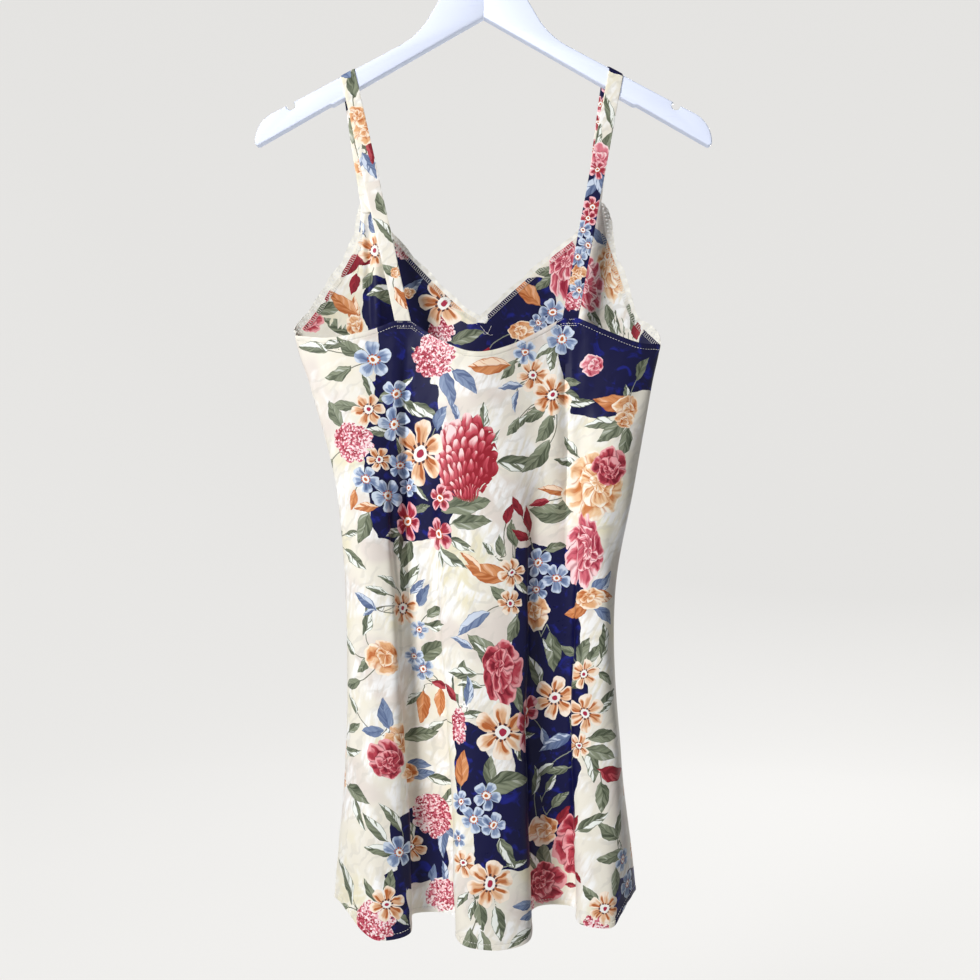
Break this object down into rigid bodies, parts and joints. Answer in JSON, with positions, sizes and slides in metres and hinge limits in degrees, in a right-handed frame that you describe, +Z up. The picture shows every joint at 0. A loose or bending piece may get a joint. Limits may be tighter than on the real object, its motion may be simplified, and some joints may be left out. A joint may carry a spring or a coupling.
{
  "type": "slip dress on a hanger",
  "caption": "Short sleeveless slip dress with a V front, low back, lace-trimmed edges and shoulder straps, hung on a flat wooden hanger with a wire hook.",
  "frame": {"origin": "underside of the top of the hanger's hook, where it sits on a rail", "axes": "+Z up, -Y out of the dress's back, +X to the wearer's right"},
  "size_m": [0.4436, 0.1072, 1.0158],
  "materials": {
    "dress_cloth": "soft sheen, floral figured satin print",
    "lace": "matt cotton lace",
    "strap_cloth": "soft sheen, floral figured satin print",
    "painted_wood": "white paint, satin",
    "hook_wire": "bright plated wire"
  },
  "bodies": {
    "root": {"back_panel": "dress_cloth", "front_panel": "dress_cloth", "neck_lace_left": "lace", "neck_lace_right": "lace", "armhole_lace_left": "lace", "armhole_lace_right": "lace", "strap_left": "strap_cloth", "strap_right": "strap_cloth", "hanger_arm_left": "painted_wood", "hanger_arm_right": "painted_wood", "hanger_hook": "hook_wire"}
  },
  "joints": []
}
